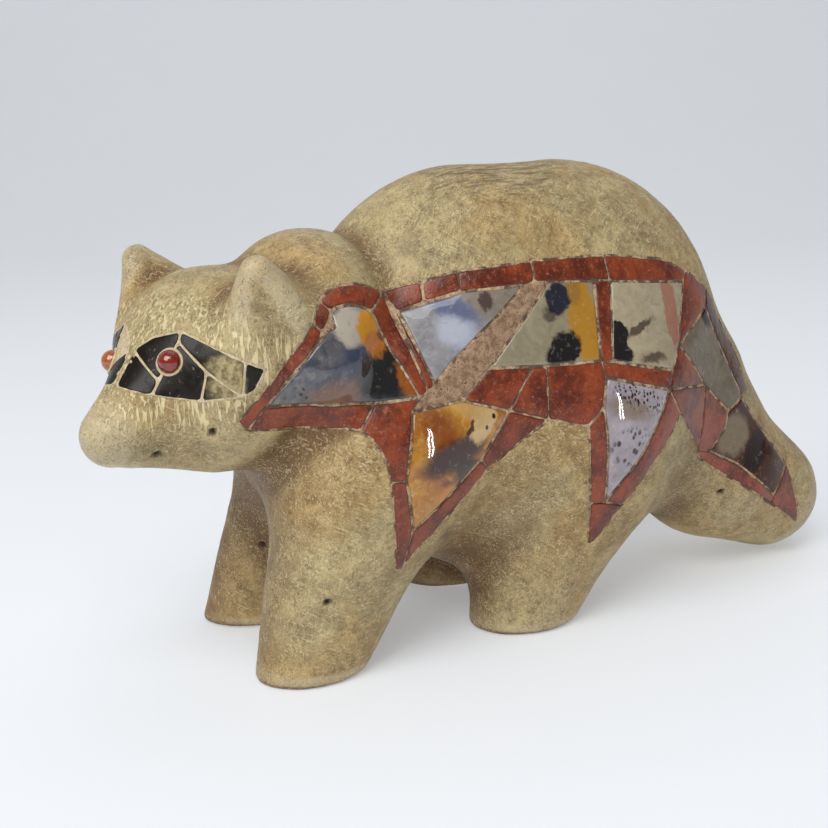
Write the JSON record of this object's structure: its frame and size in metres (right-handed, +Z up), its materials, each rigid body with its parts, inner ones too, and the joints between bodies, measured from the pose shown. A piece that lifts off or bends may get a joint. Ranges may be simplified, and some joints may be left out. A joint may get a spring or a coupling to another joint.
{
  "type": "inlaid stone raccoon figure",
  "caption": "Carved stone raccoon standing on four legs, with polished stone tiles let into both flanks and the face, and bead eyes.",
  "frame": {"origin": "on the surface it stands on, under the middle of the animal", "axes": "+Z up, -Y the way the animal walks, +X its left side"},
  "size_m": [0.0592, 0.165, 0.089],
  "materials": {
    "carved_stone": "satin",
    "carnelian_bead": "polished",
    "black_stone": "polished",
    "mortar": "matte",
    "sandy_mortar": "matte",
    "dark_stone": "polished",
    "amber_agate": "polished",
    "agate": "polished",
    "red_stone": "satin"
  },
  "bodies": {
    "root": {"flank_grout": "mortar", "left_agate_foreleg": "amber_agate", "left_agate_hindleg": "agate", "left_agate_loin": "agate", "left_agate_middle": "agate", "left_agate_ridge": "agate", "left_agate_rump": "agate", "left_agate_shoulder": "agate", "left_agate_tail": "agate", "left_dark_rump_strip": "dark_stone", "left_eye": "carnelian_bead", "left_mask_brow": "black_stone", "left_mask_cheek": "black_stone", "left_mask_eye": "black_stone", "left_mask_nose": "black_stone", "left_mask_rear": "black_stone", "left_mask_temple": "black_stone", "left_mortar_band": "sandy_mortar", "left_red_arch": "red_stone", "left_red_band_1": "red_stone", "left_red_band_2": "red_stone", "left_red_band_3": "red_stone", "left_red_base": "red_stone", "left_red_brace_front": "red_stone", "left_red_brace_rear": "red_stone", "left_red_collar": "red_stone", "left_red_collar_wedge": "red_stone", "left_red_divider": "red_stone", "left_red_foreleg_knee": "red_stone", "left_red_foreleg_rear": "red_stone", "left_red_foreleg_tip": "red_stone", "left_red_fork": "red_stone", "left_red_hindleg_front": "red_stone", "left_red_hindleg_rear": "red_stone", "left_red_hindleg_tip": "red_stone", "left_red_rear_blade": "red_stone", "left_red_rear_divider": "red_stone", "left_red_rear_low": "red_stone", "left_red_rear_top": "red_stone", "left_red_ridge_1": "red_stone", "left_red_ridge_2": "red_stone", "left_red_ridge_3": "red_stone", "left_red_ridge_4": "red_stone", "left_red_ridge_5": "red_stone", "left_red_tail_strip": "red_stone", "left_red_tail_tip": "red_stone", "left_red_waist": "red_stone", "mask_grout": "mortar", "right_agate_foreleg": "amber_agate", "right_agate_hindleg": "agate", "right_agate_loin": "agate", "right_agate_middle": "agate", "right_agate_ridge": "agate", "right_agate_rump": "agate", "right_agate_shoulder": "agate", "right_agate_tail": "agate", "right_border_tiles": "red_stone", "right_eye": "carnelian_bead", "right_mask_tiles": "black_stone", "stone_body": "carved_stone"}
  },
  "joints": []
}
